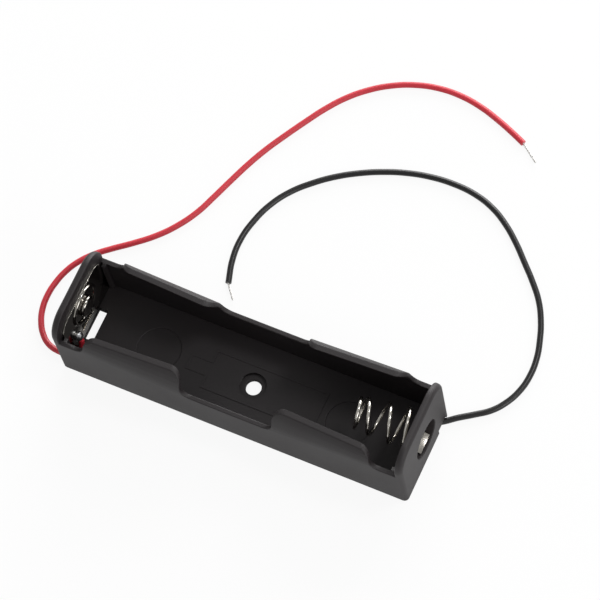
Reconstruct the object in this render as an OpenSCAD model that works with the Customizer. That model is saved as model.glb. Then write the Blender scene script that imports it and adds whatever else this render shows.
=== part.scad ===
// Holder for one cylindrical cell, with a coil spring contact and two wire leads.
// The origin is the middle of the underside. +X points to the spring end, +Z up.

/* [Cell] */
// Diameter of the cell
cell_d = 18.4; // [16:0.1:21]
// Play between the cell and the side walls, on the diameter
cell_gap = 0.2; // [0.1:0.1:1]

/* [Housing] */
// Length over the end walls
housing_l = 77.6; // [74:0.2:90]
// Thickness of the side walls
side_t = 1.0; // [0.8:0.1:1.6]
// Thickness of the end walls
end_t = 1.6; // [1.2:0.1:2.4]
// Thickness of the floor
floor_t = 2.0; // [1.8:0.1:3]
// Height of the end walls above the cell's axis
end_rise = 8.3; // [7:0.1:10]
// Radius of the end walls' top corners
end_corner_r = 5.0; // [2:0.1:7]
// Rounding of the end walls' outer edges
end_edge_r = 1.0; // [0.4:0.1:1.2]

/* [Grip fingers] */
// Height of the finger tips above the cell's axis
finger_rise = 6.4; // [4.5:0.1:6.8]
// Distance from the middle to the near end of each finger
finger_from = 10.2; // [7:0.1:14]
// Distance from the middle to the far end of each finger
finger_to = 31.6; // [26:0.1:32]
// Rounding of the finger corners
finger_corner_r = 2.4; // [1:0.1:2.5]
// Depth of the middle scoop's edge below the cell's axis
scoop_drop = 0.2; // [0:0.1:2]
// Height of the low wall beside each end, above the cell's axis
low_rise = 1.8; // [0:0.1:2.6]

/* [Floor] */
// Radius of the mounting hole
hole_r = 1.65; // [1.2:0.05:2.2]
// Radius of the recess for the screw head
head_r = 2.85; // [2.5:0.05:4]
// Depth of the recess for the screw head
head_depth = 0.9; // [0.4:0.1:1.2]
// Width of the slot through the floor below each contact, along the length
slot_w = 2.25; // [1:0.05:3]
// Length of that slot, across the holder
slot_l = 7.3; // [4:0.1:10]
// Gap between the slot and the end wall
slot_gap = 0.2; // [0.1:0.1:1]
// Radius of the two round pads sunk in the floor
pad_r = 4.6; // [3:0.1:6]
// Distance from the middle to each pad
pad_x = 21.3; // [16:0.1:24]
// Depth of the pads
pad_depth = 0.2; // [0.1:0.05:0.4]

/* [Cell outline on the floor] */
// Length of the outlined cell's body
mark_l = 25.2; // [15:0.2:30]
// Width of the outlined cell's body
mark_w = 8.8; // [7:0.1:12]
// Length of the outlined cell's button
mark_button_l = 4.6; // [2:0.1:6]
// Width of the outlined cell's button
mark_button_w = 3.5; // [2:0.1:5]
// Offset of the body's middle towards the spring
mark_x = 2.6; // [-4:0.1:4]
// Width of the line
mark_line_w = 0.4; // [0.3:0.05:0.8]
// Height of the line above the floor
mark_rise = 0.15; // [0.1:0.05:0.3]

/* [End walls] */
// Radius of the round window behind each contact
window_r = 4.3; // [3.4:0.1:4.6]
// Height of the window's middle above the floor
window_rise = 6.8; // [6:0.1:7.4]
// Offset of the window's middle from the middle of the end wall
window_y = 0.7; // [0:0.1:2]
// Width of the notch that the lead leaves through
notch_w = 3.6; // [2:0.1:4]
// Gap between the lead and the top of its notch
notch_gap = 0.1; // [0.1:0.1:0.4]
// Distance from the side wall's inner face to the notch
notch_side = 0.0; // [0:0.1:1]
// Length of the notch's opening into the bay
notch_l = 2.2; // [1.6:0.1:3]

/* [Contacts] */
// Thickness of the contact plates
plate_t = 0.4; // [0.2:0.05:0.6]
// Width of the contact plates
plate_w = 17.0; // [16:0.1:17.2]
// Height of the contact plates' top above the cell's axis
plate_rise = 5.0; // [4.8:0.1:6]
// Radius of the contact plates' top corners
plate_corner_r = 3.0; // [1:0.1:4]
// Gap round a contact plate in its seat
plate_gap = 0.1; // [0.05:0.05:0.2]
// Thickness of the ribs that trap a contact plate
rib_t = 0.8; // [0.5:0.1:1.2]
// How far the ribs stand out from the side walls
rib_out = 0.9; // [0.8:0.1:1.2]
// Radius of the ring pressed in the positive contact
ring_r = 4.2; // [3.6:0.1:5]
// Width of the ring's bead
bead_w = 0.9; // [0.6:0.1:1.2]
// Radius of the positive contact's button
button_r = 2.3; // [1.5:0.1:2.8]
// Height of the button above the plate
button_h = 1.2; // [0.8:0.1:2]
// Width of the tab that each plate folds into the window
tab_w = 4.4; // [2:0.1:5]
// How far the tab reaches into the window
tab_out = 1.2; // [0.6:0.1:1.2]
// Height of the tab's top above the window's lower edge
tab_rise = 1.4; // [1:0.1:2.4]

/* [Spring] */
// Free length of the spring
spring_l = 12.6; // [10:0.1:14]
// Diameter of the spring wire
spring_wire_d = 0.75; // [0.5:0.05:1]
// Mean radius of the coil at the plate
spring_base_r = 4.05; // [3.6:0.05:5.5]
// Mean radius of the coil at the cell
spring_tip_r = 2.9; // [2.5:0.05:3.5]
// Number of turns
spring_turns = 4; // [3:0.25:6]
// Pitch of the turn that meets the cell
tip_pitch = 1.4; // [1.1:0.1:2.6]
// Pitch of the turn that lies on the plate
base_pitch = 1.9; // [0.9:0.1:2.2]
// Gap between the spring and its plate
spring_gap = 0.05; // [0.03:0.01:0.2]

/* [Leads] */
// Diameter of the insulation
lead_d = 1.3; // [1:0.05:1.4]
// Diameter of the bare strands
strand_d = 0.5; // [0.3:0.05:0.8]
// Radius of the solder joints
solder_r = 1.1; // [0.8:0.1:1.4]

/* [Hidden] */
cut = 0.5;       // overrun of the cutting solids
fine = 48;       // facets of a full circle
skin = 0.01;     // thickness of the end sections that a loft joins
bay_r = (cell_d + cell_gap) / 2;
bay_end = housing_l / 2 - end_t;
housing_w = 2 * (bay_r + side_t);
axis_h = floor_t + bay_r;
end_h = axis_h + end_rise;
finger_h = axis_h + finger_rise;
scoop_h = axis_h - scoop_drop;
low_h = axis_h + low_rise;
low_corner_r = min(finger_corner_r, (finger_h - low_h) / 2);
notch_y = bay_r - notch_side - notch_w / 2;
notch_h = lead_d + notch_gap;
window_z = floor_t + window_rise;
tab_z = window_z - window_r + tab_rise;
plate_x = bay_end - plate_t;
plate_z = floor_t + plate_gap;
plate_h = axis_h + plate_rise;
rib_x = plate_x - plate_gap - rib_t;
spring_foot = plate_x - spring_gap - spring_wire_d / 2;
spring_tip = plate_x - spring_l + spring_wire_d / 2;
spring_steps = 24;     // rings in one turn of the spring
spring_phase = 5;      // angle where the spring's foot turn starts
solder_y = 5.2;
solder_z = 6.7;
solder_lift = 0.3;     // height of the solder drop's middle above the plate

// Routes of the leads, from the solder joint to the end of the insulation.
red_route = [[-35.9, -5.4, 5.6], [-35.7, -6.1, 3.9], [-35.8, -6.8, 2.2], [-36.5, -7.3, 1.0],
    [-38.0, -7.6, 0.65], [-40.6, -7.9, 0.65], [-43.4, -7.3, 0.65], [-45.5, -5.7, 0.65],
    [-47.1, -3.4, 0.65], [-48.1, -0.8, 0.65], [-48.5, 2.4, 0.65], [-48.2, 5.6, 0.65],
    [-47.3, 8.8, 0.65], [-45.7, 11.8, 0.65], [-43.4, 14.5, 0.65], [-40.5, 17.0, 0.65],
    [-36.8, 19.9, 0.65], [-33.2, 23.1, 0.65], [-30.1, 26.8, 0.65], [-27.5, 31.2, 0.65],
    [-25.7, 35.8, 0.65], [-24.0, 40.5, 0.65], [-22.2, 45.2, 0.65], [-20.1, 49.8, 0.65],
    [-17.7, 54.2, 0.65], [-15.2, 58.5, 0.65], [-12.6, 62.7, 0.65], [-9.6, 66.6, 0.65],
    [-6.0, 70.0, 0.65], [-1.8, 72.8, 0.65], [2.8, 74.8, 0.65], [7.7, 75.9, 0.65],
    [12.6, 76.0, 0.65], [17.5, 75.2, 0.65], [22.2, 73.7, 0.65], [26.2, 72.1, 0.65],
    [29.1, 70.8, 0.65]];
red_tip = [[29.1, 70.8, 0.65], [32.4, 68.0, 0.65]];
black_route = [[35.9, 5.4, 5.6], [35.7, 6.0, 3.9], [35.8, 6.5, 2.2], [36.5, 6.9, 1.0],
    [38.2, 7.8, 0.65], [41.0, 9.9, 0.65], [43.8, 11.8, 0.65], [46.6, 13.9, 0.65],
    [48.7, 16.6, 0.65], [50.2, 20.0, 0.65], [50.8, 23.6, 0.65], [50.6, 27.6, 0.65],
    [49.6, 31.6, 0.65], [48.1, 35.6, 0.65], [46.0, 39.4, 0.65], [43.2, 42.8, 0.65],
    [40.0, 46.1, 0.65], [36.6, 49.5, 0.65], [33.0, 52.5, 0.65], [29.0, 54.9, 0.65],
    [24.4, 56.4, 0.65], [19.4, 56.9, 0.65], [14.4, 56.6, 0.65], [9.5, 55.6, 0.65],
    [4.8, 54.0, 0.65], [0.3, 51.9, 0.65], [-4.0, 49.3, 0.65], [-7.9, 46.2, 0.65],
    [-11.4, 42.6, 0.65], [-14.0, 38.5, 0.65], [-15.7, 33.8, 0.65], [-16.5, 28.8, 0.65],
    [-16.1, 24.0, 0.65], [-14.7, 19.1, 0.65]];
black_tip = [[-14.7, 19.1, 0.65], [-12.6, 16.3, 0.65]];

function unit(v) = v / norm(v);
function arc(x, y, r, from, to, steps = 8) =
    [for (i = [0:steps]) let (a = from + (to - from) * i / steps) [x + r * cos(a), y + r * sin(a)]];
function heading(p, i) = unit(p[min(i + 1, len(p) - 1)] - p[max(i - 1, 0)]);
function ring(centre, along, up, r, sides) =
    let (u = unit(cross(up, along)), v = cross(along, u))
    [for (k = [0:sides - 1]) let (a = 360 * k / sides) centre + r * (cos(a) * u + sin(a) * v)];

// A round tube whose rings stand on the points, each with its own up direction.
module sweep(points, ups, r, sides) {
    last = len(points) - 1;
    polyhedron(
        [for (i = [0:last]) each ring(points[i], heading(points, i), ups[i], r, sides)],
        [[for (k = [0:sides - 1]) k],
            for (i = [0:last - 1], k = [0:sides - 1]) let (n = (k + 1) % sides)
                [i * sides + k, (i + 1) * sides + k, (i + 1) * sides + n, i * sides + n],
            [for (k = [sides - 1:-1:0]) last * sides + k]]);
}

module cord(points, d) sweep(points, [for (p = points) [0, 0, 1]], d / 2, 8);

// Stands a profile drawn in Y and Z upright, with its length along X.
module along_x(from, to) {
    translate([from, 0, 0]) rotate([90, 0, 90]) linear_extrude(to - from) children();
}

// A profile of the housing across its length: straight sides and a rolled-in top.
module across(half_w, bottom, roll_r, roll_h) {
    polygon(concat([[-half_w, bottom], [half_w, bottom]],
        arc(half_w - roll_r, roll_h, roll_r, 0, 90, 12),
        arc(roll_r - half_w, roll_h, roll_r, 90, 180, 12)));
}

// The rounded body between the end walls, or the bay inside it: the roll is concentric
// with the cell as far as the fingers' near ends, and tightens to the end walls' corners.
module rolled_body(half_w, bottom) {
    along_x(-finger_from, finger_from) across(half_w, bottom, half_w, axis_h);
    for (s = [-1, 1]) hull() {
        translate([s * (finger_from - skin), 0, 0]) along_x(-skin, skin)
            across(half_w, bottom, half_w, axis_h);
        translate([s * (bay_end - skin), 0, 0]) along_x(-skin, skin) end_profile(half_w, bottom);
    }
}

// The end walls' profile, or that of the bay's end when it is drawn smaller.
module end_profile(half_w, bottom) {
    inset = housing_w / 2 - half_w;
    across(half_w, bottom, end_corner_r - inset, end_h - end_corner_r);
}

// The end wall, with its outer edges rounded at the top and at both sides.
module end_wall() {
    hull() {
        along_x(bay_end, housing_l / 2 - end_edge_r) end_profile(housing_w / 2, 0);
        for (a = [22.5:22.5:90]) translate([housing_l / 2 - end_edge_r * (1 - sin(a)), 0, 0])
            along_x(-skin, 0) end_profile(housing_w / 2 - end_edge_r * (1 - cos(a)), 0);
    }
}

// Everything above the side walls' top edge, seen from the side.
module wall_opening() {
    edge = concat(
        arc(finger_from - finger_corner_r, scoop_h + finger_corner_r, finger_corner_r, 270, 360),
        arc(finger_from + finger_corner_r, finger_h - finger_corner_r, finger_corner_r, 180, 90),
        arc(finger_to - low_corner_r, finger_h - low_corner_r, low_corner_r, 90, 0),
        arc(finger_to + low_corner_r, low_h + low_corner_r, low_corner_r, 180, 270),
        [[bay_end, low_h], [bay_end, 2 * end_h]]);
    last = len(edge) - 1;
    rotate([90, 0, 0]) linear_extrude(housing_w + 2 * cut, center = true)
        polygon(concat(edge, [for (i = [last:-1:0]) [-edge[i][0], edge[i][1]]]));
}

// What is cut out at the spring end. The other end has the same, turned half round.
module end_cuts() {
    translate([bay_end - cut, window_y, window_z]) rotate([0, 90, 0])
        cylinder(end_t + 2 * cut, r = window_r, $fn = fine);
    translate([bay_end - slot_gap - slot_w, -slot_l / 2, -cut])
        cube([slot_w, slot_l, floor_t + 2 * cut]);
    translate([bay_end - notch_l, notch_y - notch_w / 2, -cut])
        cube([notch_l, notch_w, floor_t + 2 * cut]);
    translate([bay_end - cut, notch_y - notch_w / 2, -cut])
        cube([end_t + 2 * cut, notch_w, notch_h + cut]);
    translate([pad_x, 0, floor_t - pad_depth]) cylinder(pad_depth + cut, r = pad_r, $fn = fine);
}

// The outline of a cell seen from above, drawn in by a distance.
function cell_outline(inset) =
    let (body = mark_w / 2 - inset, button = mark_button_w / 2 - inset,
        near = mark_x + mark_l / 2 - inset, far = mark_x - mark_l / 2 + inset, tip = far - mark_button_l)
    [[tip, button], [far, button], [far, body], [near, body],
        [near, -body], [far, -body], [far, -button], [tip, -button]];

module cell_mark() {
    translate([0, 0, floor_t - skin]) linear_extrude(mark_rise + skin) difference() {
        polygon(cell_outline(0));
        polygon(cell_outline(mark_line_w));
    }
}

module plate_ribs() {
    root = side_t / 2;
    for (s = [0, 1]) mirror([0, s, 0]) translate([rib_x, bay_r - rib_out, floor_t - skin])
        cube([rib_t, rib_out + root, low_h - floor_t]);
}

module housing() {
    color("#2b292b") difference() {
        union() {
            difference() {
                rolled_body(housing_w / 2, 0);
                rolled_body(bay_r, floor_t);
                wall_opening();
            }
            for (turn = [0, 180]) rotate([0, 0, turn]) {
                end_wall();
                plate_ribs();
            }
            cell_mark();
        }
        for (turn = [0, 180]) rotate([0, 0, turn]) end_cuts();
        translate([0, 0, -cut]) cylinder(floor_t + 2 * cut, r = hole_r, $fn = fine);
        translate([0, 0, floor_t - head_depth]) cylinder(head_depth + cut, r = head_r, $fn = fine);
    }
}

// The contact plate of the spring end, with a tab folded out of it into the window.
module contact_plate() {
    half_w = plate_w / 2;
    difference() {
        along_x(plate_x, bay_end) polygon(concat([[-half_w, plate_z], [half_w, plate_z]],
            arc(half_w - plate_corner_r, plate_h - plate_corner_r, plate_corner_r, 0, 90),
            arc(plate_corner_r - half_w, plate_h - plate_corner_r, plate_corner_r, 90, 180)));
        translate([plate_x - cut, window_y - tab_w / 2, tab_z - plate_t - tab_out])
            cube([plate_t + 2 * cut, tab_w, tab_out]);
    }
    translate([plate_x, window_y - tab_w / 2, tab_z - plate_t])
        cube([plate_t + tab_out, tab_w, plate_t]);
}

// Turns a profile drawn as radius and height round the cell's axis, standing
// inwards from the contact plate's face.
module pressed(height = 0) {
    translate([plate_x - height, 0, axis_h]) rotate([0, -90, 0]) rotate_extrude($fn = fine) children();
}

module positive_contact() {
    edge_r = button_h / 2;
    color("silver") rotate([0, 0, 180]) {
        difference() {
            union() {
                contact_plate();
                pressed() intersection() {
                    translate([ring_r, 0]) circle(bead_w / 2, $fn = 24);
                    translate([0, -skin]) square([2 * ring_r, bead_w]);
                }
                pressed() polygon(concat([[0, -skin], [button_r, -skin]],
                    arc(button_r - edge_r, button_h - edge_r, edge_r, 0, 90), [[0, button_h]]));
            }
            pressed(-plate_t - skin) square([button_r - plate_t, button_h]);
        }
    }
}

module negative_contact() {
    color("silver") contact_plate();
}

// Distance of the spring's wire from its foot, after a number of turns.
function spring_rise(turns, length) =
    turns < 1 ? base_pitch * turns :
    turns > spring_turns - 1 ? length - tip_pitch * (spring_turns - turns) :
    base_pitch + (length - base_pitch - tip_pitch) * (turns - 1) / (spring_turns - 2);

module negative_spring() {
    steps = spring_turns * spring_steps;
    turns = [for (i = [0:steps]) spring_turns * i / steps];
    outward = [for (t = turns) let (a = spring_phase - 360 * t) [0, cos(a), sin(a)]];
    points = [for (i = [0:steps])
        [spring_foot - spring_rise(turns[i], spring_foot - spring_tip), 0, axis_h]
            + outward[i] * (spring_base_r + (spring_tip_r - spring_base_r) * i / steps)];
    color("silver") sweep(points, outward, spring_wire_d / 2, 8);
}

// A drop of solder on the plate's lower corner, where a lead ends.
module solder() {
    foot = -asin(solder_lift / solder_r);
    color("gainsboro") translate([plate_x, solder_y, solder_z]) rotate([0, -90, 0])
        rotate_extrude($fn = fine)
            polygon(concat([[0, 0]], arc(0, solder_lift, solder_r, foot, 90)));
}

module positive_solder() rotate([0, 0, 180]) solder();
module negative_solder() solder();
module red_lead() color("#c23a44") cord(red_route, lead_d);
module black_lead() color("#1d1c1d") cord(black_route, lead_d);
module red_lead_tip() color("silver") cord(red_tip, strand_d);
module black_lead_tip() color("silver") cord(black_tip, strand_d);

housing();
positive_contact();
positive_solder();
red_lead();
red_lead_tip();
negative_contact();
negative_spring();
negative_solder();
black_lead();
black_lead_tip();
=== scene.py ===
import math

import bmesh
import bpy
from mathutils import Matrix, Quaternion, Vector


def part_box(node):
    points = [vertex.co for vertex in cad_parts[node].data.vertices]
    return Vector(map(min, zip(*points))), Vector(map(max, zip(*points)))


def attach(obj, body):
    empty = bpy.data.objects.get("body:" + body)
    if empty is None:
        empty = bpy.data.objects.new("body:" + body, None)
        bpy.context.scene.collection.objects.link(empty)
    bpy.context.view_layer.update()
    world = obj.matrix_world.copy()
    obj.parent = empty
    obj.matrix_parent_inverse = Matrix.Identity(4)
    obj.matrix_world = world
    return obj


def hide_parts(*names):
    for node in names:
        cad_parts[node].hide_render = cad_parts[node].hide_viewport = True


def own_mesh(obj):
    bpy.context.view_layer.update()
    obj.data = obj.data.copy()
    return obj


# Named sizes are in millimetres and named angles in degrees. The floor and the lamps are
# placed in metres.
MM = 0.001

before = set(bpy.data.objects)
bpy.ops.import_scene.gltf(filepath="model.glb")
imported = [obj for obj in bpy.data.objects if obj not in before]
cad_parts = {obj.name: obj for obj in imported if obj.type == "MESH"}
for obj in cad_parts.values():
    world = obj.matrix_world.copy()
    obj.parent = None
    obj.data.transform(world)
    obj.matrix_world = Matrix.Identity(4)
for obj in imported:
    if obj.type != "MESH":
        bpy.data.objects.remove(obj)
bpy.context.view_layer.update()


def mm(*numbers):
    return Vector(numbers) * MM


# ---------------------------------------------------------------- camera

VIEW_AZIMUTH = 38.96
VIEW_ELEVATION = 66.33
VIEW_ROLL = -15.51
VIEW_DISTANCE = 717.9
AIM = (0.47, 21.44, 0.0)


def add_camera():
    """A long lens that looks steeply down on the holder and its leads."""
    azimuth = math.radians(VIEW_AZIMUTH)
    elevation = math.radians(VIEW_ELEVATION)
    back = Vector((math.sin(azimuth) * math.cos(elevation),
                   -math.cos(azimuth) * math.cos(elevation),
                   math.sin(elevation)))
    camera = bpy.data.objects.new("camera", bpy.data.cameras.new("camera"))
    camera.data.lens = 210
    camera.data.sensor_width = 36
    camera.data.clip_start = 0.01
    turn = back.to_track_quat("Z", "Y") @ Quaternion((0, 0, 1), math.radians(VIEW_ROLL))
    camera.matrix_world = Matrix.LocRotScale(mm(*AIM) + back * VIEW_DISTANCE * MM, turn, None)
    bpy.context.scene.collection.objects.link(camera)
    bpy.context.scene.camera = camera


# ---------------------------------------------------------------- materials

def linear(hex_colour):
    """An sRGB hex colour as the linear colour that a socket takes."""
    parts = [int(hex_colour[i:i + 2], 16) / 255 for i in (1, 3, 5)]
    return tuple(p / 12.92 if p <= 0.04045 else ((p + 0.055) / 1.055) ** 2.4 for p in parts) + (1,)


def per_metre(size_mm):
    """The scale of a pattern whose features are this size."""
    return 1 / (size_mm * MM)


def add(material, kind, inputs=(), **settings):
    """Adds a node with its settings; each input is a value or the socket that feeds it."""
    tree = material.node_tree
    made = tree.nodes.new(kind)
    for name, value in settings.items():
        setattr(made, name, value)
    for name, value in dict(inputs).items():
        if isinstance(value, bpy.types.NodeSocket):
            tree.links.new(value, made.inputs[name])
        else:
            made.inputs[name].default_value = value
    return made


def new_material(name):
    material = bpy.data.materials.new(name)
    material.use_nodes = True
    material.node_tree.nodes.clear()
    return material


def finish_material(material, shader):
    output = add(material, "ShaderNodeOutputMaterial")
    material.node_tree.links.new(shader.outputs[0], output.inputs["Surface"])
    return material


def object_place(material):
    return add(material, "ShaderNodeTexCoord").outputs["Object"]


def noise(material, place, size_mm, **inputs):
    """A soft random pattern from 0 to 1 whose blotches are this size."""
    return add(material, "ShaderNodeTexNoise",
               {"Vector": place, "Scale": per_metre(size_mm), **inputs}).outputs["Fac"]


def spread(material, share, low, high):
    """A pattern from 0 to 1 stretched to run from low to high."""
    return add(material, "ShaderNodeMapRange",
               {"Value": share, "To Min": low, "To Max": high}).outputs["Result"]


def blend(material, share, dark, light):
    """Two hex colours mixed by a pattern from 0 to 1."""
    return add(material, "ShaderNodeMix", {0: share, 6: linear(dark), 7: linear(light)},
               data_type="RGBA").outputs[2]


def finish_surface(material, colour, roughness, relief, strength, depth_mm, **inputs):
    """Gives the material one principled shader, with a pattern as its fine relief."""
    bump = add(material, "ShaderNodeBump",
               {"Height": relief, "Strength": strength, "Distance": depth_mm * MM})
    shader = add(material, "ShaderNodeBsdfPrincipled",
                 {"Base Color": colour, "Roughness": roughness, "Normal": bump.outputs["Normal"], **inputs})
    return finish_material(material, shader)


def abs_moulded_black():
    """Black ABS from a lightly spark-eroded mould: a dull gloss with a fine even grain."""
    material = new_material("abs_moulded_black")
    place = object_place(material)
    grain = noise(material, place, 0.35, Detail=3.0, Roughness=0.6)
    flow = noise(material, place, 9.0, Detail=2.0, Roughness=0.5)
    return finish_surface(material, blend(material, flow, "#151012", "#1e1719"),
                          spread(material, flow, 0.52, 0.62), grain, 0.35, 0.03, IOR=1.53)


def nickel_strip():
    """Rolled steel strip with bright nickel plate: mirror-like, with fine rolling lines."""
    material = new_material("nickel_plated_strip")
    place = object_place(material)
    along = add(material, "ShaderNodeMapping",
                {"Vector": place, "Scale": (per_metre(0.3), per_metre(0.08), per_metre(4.0))})
    lines = add(material, "ShaderNodeTexNoise",
                {"Vector": along.outputs["Vector"], "Scale": 1.0, "Detail": 2.0}).outputs["Fac"]
    haze = noise(material, place, 3.0, Detail=3.0)
    return finish_surface(material, linear("#aaa69f"), spread(material, haze, 0.08, 0.18),
                          lines, 0.06, 0.01, Metallic=1.0)


def nickel_wire():
    """Drawn spring wire with nickel plate: bright, with fine spots where the plate is dull."""
    material = new_material("nickel_plated_spring_wire")
    spots = noise(material, object_place(material), 0.5, Detail=4.0, Roughness=0.6)
    return finish_surface(material, linear("#d6d2ca"), spread(material, spots, 0.1, 0.24),
                          spots, 0.08, 0.01, Metallic=1.0)


def solder_tin():
    """Hand-made solder joint: bright tin with frosty patches where it froze."""
    material = new_material("tin_solder")
    frost = add(material, "ShaderNodeTexVoronoi",
                {"Vector": object_place(material), "Scale": per_metre(0.35)}).outputs["Distance"]
    return finish_surface(material, linear("#c4c6c8"), spread(material, frost, 0.2, 0.42),
                          frost, 0.25, 0.03, Metallic=1.0)


def pvc_insulation(name, dark, light, dullest):
    """Extruded PVC insulation: soft gloss, a faint unevenness and tiny pits from the die."""
    material = new_material(name)
    place = object_place(material)
    shade = noise(material, place, 4.0, Detail=3.0)
    pits = noise(material, place, 0.25, Detail=3.0, Roughness=0.6)
    return finish_surface(material, blend(material, shade, dark, light),
                          spread(material, shade, dullest - 0.1, dullest), pits, 0.2, 0.02, IOR=1.53)


def tinned_copper():
    """Fine copper strands with a dull tin coat."""
    material = new_material("tinned_copper_strand")
    coat = noise(material, object_place(material), 0.3, Detail=3.0)
    return finish_surface(material, blend(material, coat, "#dedcd8", "#f0efed"), 0.45,
                          coat, 0.2, 0.01, Metallic=1.0)


def calculate(material, operation, *values):
    """One arithmetic step on sockets and numbers."""
    return add(material, "ShaderNodeMath", dict(enumerate(values)), operation=operation).outputs["Value"]


def paper_floor():
    """Matt white paper that shows white to the eye and in reflections, and keeps a faint
    shadow. Under the holder a painted shadow takes the glow out of its reflections: a box
    the size of the housing, so metal above it mirrors no white."""
    material = new_material("white_paper")
    rays = add(material, "ShaderNodeLightPath").outputs
    place = add(material, "ShaderNodeSeparateXYZ", {"Vector": object_place(material)}).outputs
    # painted shadow: glossy rays see no glow on the paper within the housing's box footprint
    past_end, past_side = (
        calculate(material, "GREATER_THAN", calculate(material, "ABSOLUTE", place[axis]), reach)
        for axis, reach in zip("XY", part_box("housing")[1]))
    outside_painted_shadow = calculate(material, "MAXIMUM", past_end, past_side)
    mirrored = calculate(material, "MULTIPLY", rays["Is Glossy Ray"], outside_painted_shadow)
    mirrored = calculate(material, "MULTIPLY", mirrored, 0.6)
    seen = calculate(material, "MAXIMUM", rays["Is Camera Ray"], mirrored)
    paper = add(material, "ShaderNodeBsdfDiffuse", {"Color": linear("#f4f4f4")})
    glow = add(material, "ShaderNodeEmission", {"Color": (1, 1, 1, 1), "Strength": 1.0})
    shader = add(material, "ShaderNodeMixShader",
                 {0: calculate(material, "MULTIPLY", seen, 0.9), 1: paper.outputs["BSDF"],
                  2: glow.outputs["Emission"]})
    return finish_material(material, shader)


# ---------------------------------------------------------------- modelling helpers

def dress(piece, material, node):
    """Gives a finished piece its material and its body, and hides the solid it stands for."""
    piece.data.materials.clear()
    piece.data.materials.append(material)
    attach(piece, "holder")
    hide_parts(node)


def redress_node(name, material):
    """Gives its material to a solid of the frame that is shown as it is."""
    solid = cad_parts[name]
    solid.data.materials.clear()
    solid.data.materials.append(material)


def smooth_curve(name, points, radius, bevel_steps=4):
    """A round line that passes through every point."""
    data = bpy.data.curves.new(name, "CURVE")
    data.dimensions = "3D"
    data.bevel_depth = radius
    data.bevel_resolution = bevel_steps
    data.resolution_u = 8
    data.use_fill_caps = True
    line = data.splines.new("BEZIER")
    line.bezier_points.add(len(points) - 1)
    for knot, point in zip(line.bezier_points, points):
        knot.co = point
        knot.handle_left_type = "AUTO"
        knot.handle_right_type = "AUTO"
    curve = bpy.data.objects.new(name, data)
    bpy.context.scene.collection.objects.link(curve)
    return curve


def select_only(*objects):
    bpy.ops.object.select_all(action="DESELECT")
    for item in objects:
        item.select_set(True)
    bpy.context.view_layer.objects.active = objects[0]


def to_mesh(*curves):
    """Turns curves to one mesh."""
    select_only(*curves)
    bpy.ops.object.convert(target="MESH")
    if len(curves) > 1:
        bpy.ops.object.join()
    return bpy.context.view_layer.objects.active


def edit(piece, kind="EDGE", everything=False):
    """Makes a piece ready for edit-mode work, with nothing selected or everything."""
    select_only(piece)
    bpy.ops.object.mode_set(mode="EDIT")
    bpy.ops.mesh.select_mode(type=kind)
    bpy.ops.mesh.select_all(action="SELECT" if everything else "DESELECT")
    bpy.ops.object.mode_set(mode="OBJECT")


def operate(operator, **settings):
    """Runs one edit-mode operator on what is selected."""
    bpy.ops.object.mode_set(mode="EDIT")
    operator(**settings)
    bpy.ops.object.mode_set(mode="OBJECT")


def apply_place(made):
    """Leaves a finished object at the origin, unturned and unscaled."""
    select_only(made)
    bpy.ops.object.transform_apply(location=True, rotation=True, scale=True)
    return made


def block(low, high):
    """A box between two corners, given in millimetres."""
    low, high = mm(*low), mm(*high)
    bpy.ops.mesh.primitive_cube_add(size=1, location=(low + high) / 2)
    bpy.context.object.scale = high - low
    return apply_place(bpy.context.object)


def disc(x, radius, depth):
    """A short cylinder along X on the cell's axis, given in millimetres."""
    bpy.ops.mesh.primitive_cylinder_add(vertices=72, radius=radius * MM, depth=depth * MM,
                                        location=mm(x, 0, CELL_AXIS_Z), rotation=(0, math.pi / 2, 0))
    return apply_place(bpy.context.object)


def combine(piece, other, operation):
    """Joins a solid to the piece, or cuts it away."""
    step = piece.modifiers.new("combine", "BOOLEAN")
    step.object = other
    step.operation = operation
    step.solver = "EXACT"
    select_only(piece)
    bpy.ops.object.modifier_apply(modifier=step.name)
    bpy.data.objects.remove(other, do_unlink=True)


def round_edges(piece, width):
    """Breaks the sharp edges of a finished form."""
    step = piece.modifiers.new("edges", "BEVEL")
    step.width = width * MM
    step.segments = 3
    step.limit_method = "ANGLE"
    step.angle_limit = math.radians(30)
    select_only(piece)
    bpy.ops.object.modifier_apply(modifier=step.name)


def smooth(piece, angle=35):
    """Smooth shading that stops at edges sharper than an angle."""
    select_only(piece)
    bpy.ops.object.shade_smooth_by_angle(angle=math.radians(angle))


# ---------------------------------------------------------------- leads

LEAD_D = 1.3
RED_ROUTE = [(-35.9, -5.4, 5.6), (-35.7, -6.1, 3.9), (-35.8, -6.8, 2.2), (-36.5, -7.3, 1.0),
             (-38.0, -7.6, 0.65), (-40.6, -7.9, 0.65), (-43.4, -7.3, 0.65), (-45.5, -5.7, 0.65),
             (-47.1, -3.4, 0.65), (-48.1, -0.8, 0.65), (-48.5, 2.4, 0.65), (-48.2, 5.6, 0.65),
             (-47.3, 8.8, 0.65), (-45.7, 11.8, 0.65), (-43.4, 14.5, 0.65), (-40.5, 17.0, 0.65),
             (-36.8, 19.9, 0.65), (-33.2, 23.1, 0.65), (-30.1, 26.8, 0.65), (-27.5, 31.2, 0.65),
             (-25.7, 35.8, 0.65), (-24.0, 40.5, 0.65), (-22.2, 45.2, 0.65), (-20.1, 49.8, 0.65),
             (-17.7, 54.2, 0.65), (-15.2, 58.5, 0.65), (-12.6, 62.7, 0.65), (-9.6, 66.6, 0.65),
             (-6.0, 70.0, 0.65), (-1.8, 72.8, 0.65), (2.8, 74.8, 0.65), (7.7, 75.9, 0.65),
             (12.6, 76.0, 0.65), (17.5, 75.2, 0.65), (22.2, 73.7, 0.65), (26.2, 72.1, 0.65),
             (29.1, 70.8, 0.65)]
RED_TIP = (33.2, 67.7, 0.65)
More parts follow.
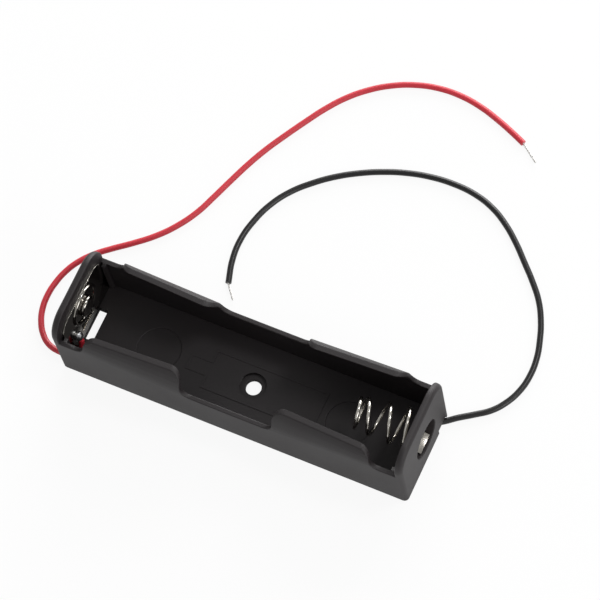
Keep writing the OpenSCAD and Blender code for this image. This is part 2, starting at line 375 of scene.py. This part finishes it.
BLACK_ROUTE = [(35.9, 5.4, 5.6), (35.7, 6.0, 3.9), (35.8, 6.5, 2.2), (36.5, 6.9, 1.0),
               (38.2, 7.8, 0.65), (41.0, 9.9, 0.65), (43.8, 11.8, 0.65), (46.6, 13.9, 0.65),
               (48.7, 16.6, 0.65), (50.2, 20.0, 0.65), (50.8, 23.6, 0.65), (50.6, 27.6, 0.65),
               (49.6, 31.6, 0.65), (48.1, 35.6, 0.65), (46.0, 39.4, 0.65), (43.2, 42.8, 0.65),
               (40.0, 46.1, 0.65), (36.6, 49.5, 0.65), (33.0, 52.5, 0.65), (29.0, 54.9, 0.65),
               (24.4, 56.4, 0.65), (19.4, 56.9, 0.65), (14.4, 56.6, 0.65), (9.5, 55.6, 0.65),
               (4.8, 54.0, 0.65), (0.3, 51.9, 0.65), (-4.0, 49.3, 0.65), (-7.9, 46.2, 0.65),
               (-11.4, 42.6, 0.65), (-14.0, 38.5, 0.65), (-15.7, 33.8, 0.65), (-16.5, 28.8, 0.65),
               (-16.1, 24.0, 0.65), (-14.7, 19.1, 0.65)]
BLACK_TIP = (-12.2, 16.0, 0.65)


def bare_strands(name, start, tip):
    """Seven fine strands in a twist: one in the middle and six round it."""
    strand_r = 0.08
    turns = 1.2
    steps = 24
    start, tip = Vector(start), Vector(tip)
    along = (tip - start).normalized()
    side = along.cross(Vector((0, 0, 1))).normalized()
    strands = []
    for number in range(7):
        points = []
        for step in range(steps + 1):
            share = step / steps
            angle = 2 * math.pi * (number / 6 + turns * share)
            spread = 0 if number == 6 else 2 * strand_r
            offset = Matrix.Rotation(angle, 3, along) @ side * spread
            reach = 1 - 0.04 * (number % 3)
            points.append((start - along * 0.4).lerp(tip, share * reach) * MM + offset * MM)
        strands.append(smooth_curve(f"{name}_{number}", points, strand_r * MM, bevel_steps=2))
    bunch = to_mesh(*strands)
    bunch.name = name
    return bunch


def add_lead(colour, route, tip, material, strand_material):
    lead = smooth_curve(f"{colour}_insulation", [mm(*p) for p in route], LEAD_D / 2 * MM)
    dress(lead, material, f"{colour}_lead")
    strands = bare_strands(f"{colour}_strands", route[-1], tip)
    dress(strands, strand_material, f"{colour}_lead_tip")


# ---------------------------------------------------------------- spring

WIRE_R = 0.375
BASE_R = 4.3             # mean radius of the coil at the plate
TIP_R = 2.9              # mean radius of the coil at the cell
BASE_PITCH = 2.05
TIP_PITCH = 1.05
TURNS = 4
STEPS_PER_TURN = 24
FIRST_ANGLE = 340        # where the foot turn starts
LEAN = (1, 0.12, -0.19)  # direction from the tip of the coil to its foot
FOOT_GAP = 0.35          # from the solid coil's foot to this one
FOOT_Y = 0.6             # offset of the coil's foot from the middle


def coil_rise(turn, length):
    """How far along the coil a turn has risen: tight at both ends, even between them."""
    if turn < 1:
        return BASE_PITCH * turn
    if turn > TURNS - 1:
        return length - TIP_PITCH * (TURNS - turn)
    return BASE_PITCH + (length - BASE_PITCH - TIP_PITCH) * (turn - 1) / (TURNS - 2)


def add_spring(material):
    """Conical coil of round wire, bound to the plate by its wide end. Free as it is,
    it leans a little upwards and to one side, as such a light coil does."""
    low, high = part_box("negative_spring")
    lean = Vector(LEAN).normalized()
    side = Vector((0, 0, 1)).cross(lean).normalized()
    upward = lean.cross(side)
    foot = Vector((high[0] - (WIRE_R + FOOT_GAP) * MM, FOOT_Y * MM, (low[2] + high[2]) / 2))
    length = ((foot[0] - low[0]) / MM - WIRE_R) / lean[0]
    points = []
    for step in range(TURNS * STEPS_PER_TURN + 1):
        turn = step / STEPS_PER_TURN
        radius = BASE_R + (TIP_R - BASE_R) * turn / TURNS
        angle = math.radians(FIRST_ANGLE - 360 * turn)
        across = side * math.cos(angle) + upward * math.sin(angle)
        points.append(foot + (across * radius - lean * coil_rise(turn, length)) * MM)
    coil = smooth_curve("spring_coil", points, WIRE_R * MM)
    coil.data.resolution_u = 3
    coil = to_mesh(coil)
    dress(coil, material, "negative_spring")
    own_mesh(coil)


# ---------------------------------------------------------------- housing

def outer_edges(piece, angle):
    """The corner pairs of the edges that stand out by more than an angle."""
    form = bmesh.new()
    form.from_mesh(piece.data)
    found = {frozenset(corner.index for corner in line.verts) for line in form.edges
             if line.is_manifold and line.is_convex and line.calc_face_angle() > angle}
    form.free()
    return found


EDGE_R = 0.2
FLAT_WITHIN = 0.5        # faces that differ by less than this are one flat face
ROUNDED_FROM = 28        # outer edges that turn by more than this are rounded
SMOOTH_UP_TO = 32
OUTLINE_X, OUTLINE_Y, OUTLINE_Z = 15.5, 4.6, (1.95, 3.5)  # reach of the raised outline
SLOT_X, SLOT_Y, SLOT_Z = (33.7, 37.3), 9.4, 13.2          # reach of the plates' slots


def stays_crisp(middle):
    """Edges of the fine raised outline on the floor, and those beside the plates' slots,
    which have no room for a rounding."""
    x, y, z = (abs(value) / MM for value in middle)
    on_outline = x < OUTLINE_X and y < OUTLINE_Y and OUTLINE_Z[0] < z < OUTLINE_Z[1]
    by_slot = SLOT_X[0] < x < SLOT_X[1] and y < SLOT_Y and z < SLOT_Z
    return on_outline or by_slot


def add_housing(material):
    """The moulding, with its outer edges broken as a mould leaves them. Flat faces are
    made whole first, and the long faces of the fingers are split where they bend inwards."""
    shell = bpy.data.objects.new("moulded_housing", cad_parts["housing"].data.copy())
    bpy.context.scene.collection.objects.link(shell)
    edit(shell, "VERT", everything=True)
    operate(bpy.ops.mesh.remove_doubles, threshold=0.001 * MM)
    edit(shell, "VERT", everything=True)
    operate(bpy.ops.mesh.dissolve_limited, angle_limit=math.radians(FLAT_WITHIN))
    edit(shell)
    sharp = outer_edges(shell, math.radians(ROUNDED_FROM))
    for line in shell.data.edges:
        first, second = (shell.data.vertices[corner].co for corner in line.vertices)
        line.select = frozenset(line.vertices) in sharp and not stays_crisp((first + second) / 2)
    operate(bpy.ops.mesh.bevel, offset=EDGE_R * MM, segments=3, affect="EDGES",
            clamp_overlap=False, face_strength_mode="ALL")
    edit(shell, "VERT", everything=True)
    operate(bpy.ops.mesh.dissolve_degenerate, threshold=0.002 * MM)
    edit(shell, "FACE")
    for face in shell.data.polygons:
        slanted = max(map(abs, face.normal)) < 0.99
        face.select = slanted and len(face.vertices) > 4
    operate(bpy.ops.mesh.vert_connect_concave)
    smooth(shell, SMOOTH_UP_TO)
    even = shell.modifiers.new("even_shading", "WEIGHTED_NORMAL")
    even.keep_sharp = True
    even.use_face_influence = True
    bpy.ops.object.modifier_apply(modifier=even.name)
    dress(shell, material, "housing")


# ---------------------------------------------------------------- contacts

PLATE_T = 0.4
SHOULDER_R = 3
CELL_AXIS_Z = 11.3
TAB_W = 4.4
TAB_OUT = 1.15        # how far the tab stands out behind the plate
TAB_DROOP = 14
TAB_TOP_Z = 5.9
TAB_Y = 0.7           # offset of the tab from the middle
TAB_GAP = 0.15        # cut on each side of the tab
CUT_FROM, CUT_TO = 1.6, 0.3  # how far below the tab's top the cut round it runs
RING_R = 4.2
BEAD_R = 0.45         # half the width of the ring's bead
RING_SUNK = 0.2       # how far the ring reaches into the plate
BUTTON_R = 2.3
BUTTON_H = 1.2
BUTTON_SUNK = 0.2     # how far the button reaches into the plate
BUTTON_EDGE_R = 0.62
HOLLOW_R = 1.85       # the button's inside, open to the back
HOLLOW_DEPTH = 0.8


def contact_sheet():
    """The strip-metal plate at the spring end: round shoulders, and a tab that is cut
    out on three sides and folded through the window, drooping a little."""
    low, high = (Vector(corner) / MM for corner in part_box("negative_contact"))
    face, back = low.x, low.x + PLATE_T
    sheet = block(low, (back, high.y, high.z))
    edit(sheet)
    for line in sheet.data.edges:
        first, second = (sheet.data.vertices[corner].co / MM for corner in line.vertices)
        at_top = min(first.z, second.z) > high.z - 0.01
        line.select = at_top and abs(first.y - second.y) < 0.001
    operate(bpy.ops.mesh.bevel, offset=SHOULDER_R * MM, segments=10, affect="EDGES")
    left, right = TAB_Y - TAB_W / 2, TAB_Y + TAB_W / 2
    opening = block((face - 1, left - TAB_GAP, TAB_TOP_Z - CUT_FROM),
                    (back + 1, right + TAB_GAP, TAB_TOP_Z - CUT_TO))
    combine(sheet, opening, "DIFFERENCE")
    tab = block((face, left, TAB_TOP_Z - PLATE_T), (back + TAB_OUT, right, TAB_TOP_Z))
    edit(tab, everything=True)
    operate(bpy.ops.transform.rotate, value=math.radians(-TAB_DROOP), orient_axis="Y",
            center_override=mm(face, TAB_Y, TAB_TOP_Z))
    combine(sheet, tab, "UNION")
    round_edges(sheet, 0.1)
    return sheet


def add_negative_contact(material):
    sheet = contact_sheet()
    sheet.name = "negative_plate"
    smooth(sheet)
    dress(sheet, material, "negative_contact")


def add_positive_contact(material):
    """The same sheet with a ring and a hollow button pressed out of it, turned half round."""
    sheet = contact_sheet()
    sheet.name = "positive_plate"
    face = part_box("negative_contact")[0][0] / MM
    bpy.ops.mesh.primitive_torus_add(location=mm(face, 0, CELL_AXIS_Z), rotation=(0, math.pi / 2, 0),
                                     major_radius=RING_R * MM, minor_radius=BEAD_R * MM,
                                     major_segments=96, minor_segments=20)
    ring = apply_place(bpy.context.object)
    for corner in ring.data.vertices:
        corner.co.x = min(corner.co.x, (face + RING_SUNK) * MM)
    combine(sheet, ring, "UNION")
    button = disc(face + (BUTTON_SUNK - BUTTON_H) / 2, BUTTON_R, BUTTON_H + BUTTON_SUNK)
    edit(button)
    for line in button.data.edges:
        ends = [button.data.vertices[corner].co.x for corner in line.vertices]
        line.select = max(ends) < (face - BUTTON_H / 2) * MM
    operate(bpy.ops.mesh.bevel, offset=BUTTON_EDGE_R * MM, segments=7, affect="EDGES")
    combine(sheet, button, "UNION")
    combine(sheet, disc(face, HOLLOW_R, 2 * HOLLOW_DEPTH), "DIFFERENCE")
    edit(sheet, everything=True)
    operate(bpy.ops.transform.rotate, value=math.pi, orient_axis="Z", center_override=(0, 0, 0))
    smooth(sheet)
    dress(sheet, material, "positive_contact")


# ---------------------------------------------------------------- stage

def add_floor():
    bpy.ops.mesh.primitive_plane_add(size=6, location=(0, 0, 0))
    floor = bpy.context.object
    floor.name = "paper_floor"
    floor.data.materials.append(paper_floor())


def add_lamp(name, place, size, power):
    """A round lamp that shines on the middle of the holder."""
    lamp = bpy.data.objects.new(name, bpy.data.lights.new(name, "AREA"))
    lamp.data.shape = "DISK"
    lamp.data.size = size
    lamp.data.energy = power
    place = Vector(place)
    turn = (place - Vector((0, 0.02, 0))).to_track_quat("Z", "Y")
    lamp.matrix_world = Matrix.LocRotScale(place, turn, None)
    bpy.context.scene.collection.objects.link(lamp)


def light_the_room():
    """Even light from all round at a plain level, a backdrop that is white to the eye,
    and three lamps."""
    world = bpy.data.worlds.new("soft_room")
    bpy.context.scene.world = world
    world.use_nodes = True
    sky = world.node_tree.nodes["Background"]
    sky.inputs["Color"].default_value = (1, 1, 1, 1)
    seen = add(world, "ShaderNodeLightPath").outputs["Is Camera Ray"]
    world.node_tree.links.new(spread(world, seen, 0.45, 1.0), sky.inputs["Strength"])
    add_lamp("back_lamp", (-0.15, 1.0, 0.32), 0.9, 13.0)
    add_lamp("right_lamp", (0.9, -0.3, 0.5), 0.6, 3.0)
    add_lamp("top_lamp", (0.47, 0.4, 1.0), 0.3, 3.0)


bpy.context.scene.view_settings.view_transform = "Standard"
bpy.ops.object.select_all(action="DESELECT")

add_camera()
tinned = tinned_copper()
add_lead("red", RED_ROUTE, RED_TIP,
         pvc_insulation("pvc_red", "#bf2330", "#cf3140", 0.48), tinned)
add_lead("black", BLACK_ROUTE, BLACK_TIP,
         pvc_insulation("pvc_black", "#0b0a0b", "#121112", 0.4), tinned)

strip = nickel_strip()
add_housing(abs_moulded_black())
add_positive_contact(strip)
add_negative_contact(strip)
solder = solder_tin()
redress_node("positive_solder", solder)
redress_node("negative_solder", solder)
add_spring(nickel_wire())

add_floor()
light_the_room()
